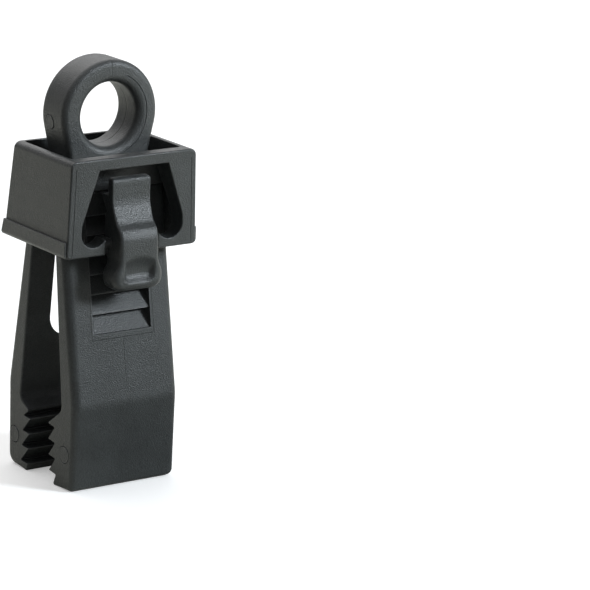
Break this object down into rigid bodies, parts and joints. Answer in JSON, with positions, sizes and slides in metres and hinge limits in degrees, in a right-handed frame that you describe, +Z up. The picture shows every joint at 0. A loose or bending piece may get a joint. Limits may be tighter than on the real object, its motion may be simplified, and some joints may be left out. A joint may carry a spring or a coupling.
{
  "type": "tarp clip",
  "caption": "Black plastic tarp clip: rope eye, two toothed jaws, and a sliding collar with a release lever that wedges them shut.",
  "frame": {"origin": "centre of the rope eye, midway through its thickness", "axes": "+Y along the eye's axis towards the rear, +Z up the clip's length to the eye's crown, +X to the right seen from the lever's side"},
  "size_m": [0.036, 0.0338, 0.0991],
  "materials": {
    "black_plastic": "fine moulded satin"
  },
  "bodies": {
    "yoke": {"ring_yoke": "black_plastic"},
    "front": {"front_jaw": "black_plastic"},
    "rear": {"rear_jaw": "black_plastic"},
    "slider": {"collar": "black_plastic"},
    "lever": {"release_lever": "black_plastic"}
  },
  "joints": [
    {"name": "collar_slide", "type": "slide", "parent": "yoke", "child": "slider", "axis": [0, 0, -1], "range_m": [0, 0.0285]},
    {"name": "front_jaw_hinge", "type": "hinge", "parent": "yoke", "child": "front", "pos_m": [0, -0.004, -0.0147], "axis": [1, 0, 0], "range_deg": [0, 4.3]},
    {"name": "rear_jaw_hinge", "type": "hinge", "parent": "yoke", "child": "rear", "pos_m": [0, 0.004, -0.0147], "axis": [-1, 0, 0], "range_deg": [0, 4.3]},
    {"name": "lever_rock", "type": "hinge", "parent": "slider", "child": "lever", "pos_m": [0, -0.01357, -0.0276], "axis": [1, 0, 0], "range_deg": [-6, 5], "stiffness_Nm_per_rad": 0.02}
  ],
  "couplings": [
    {"joint": "front_jaw_hinge", "follows": "collar_slide", "rad_per_m": 2.633},
    {"joint": "rear_jaw_hinge", "follows": "collar_slide", "rad_per_m": 2.633}
  ]
}
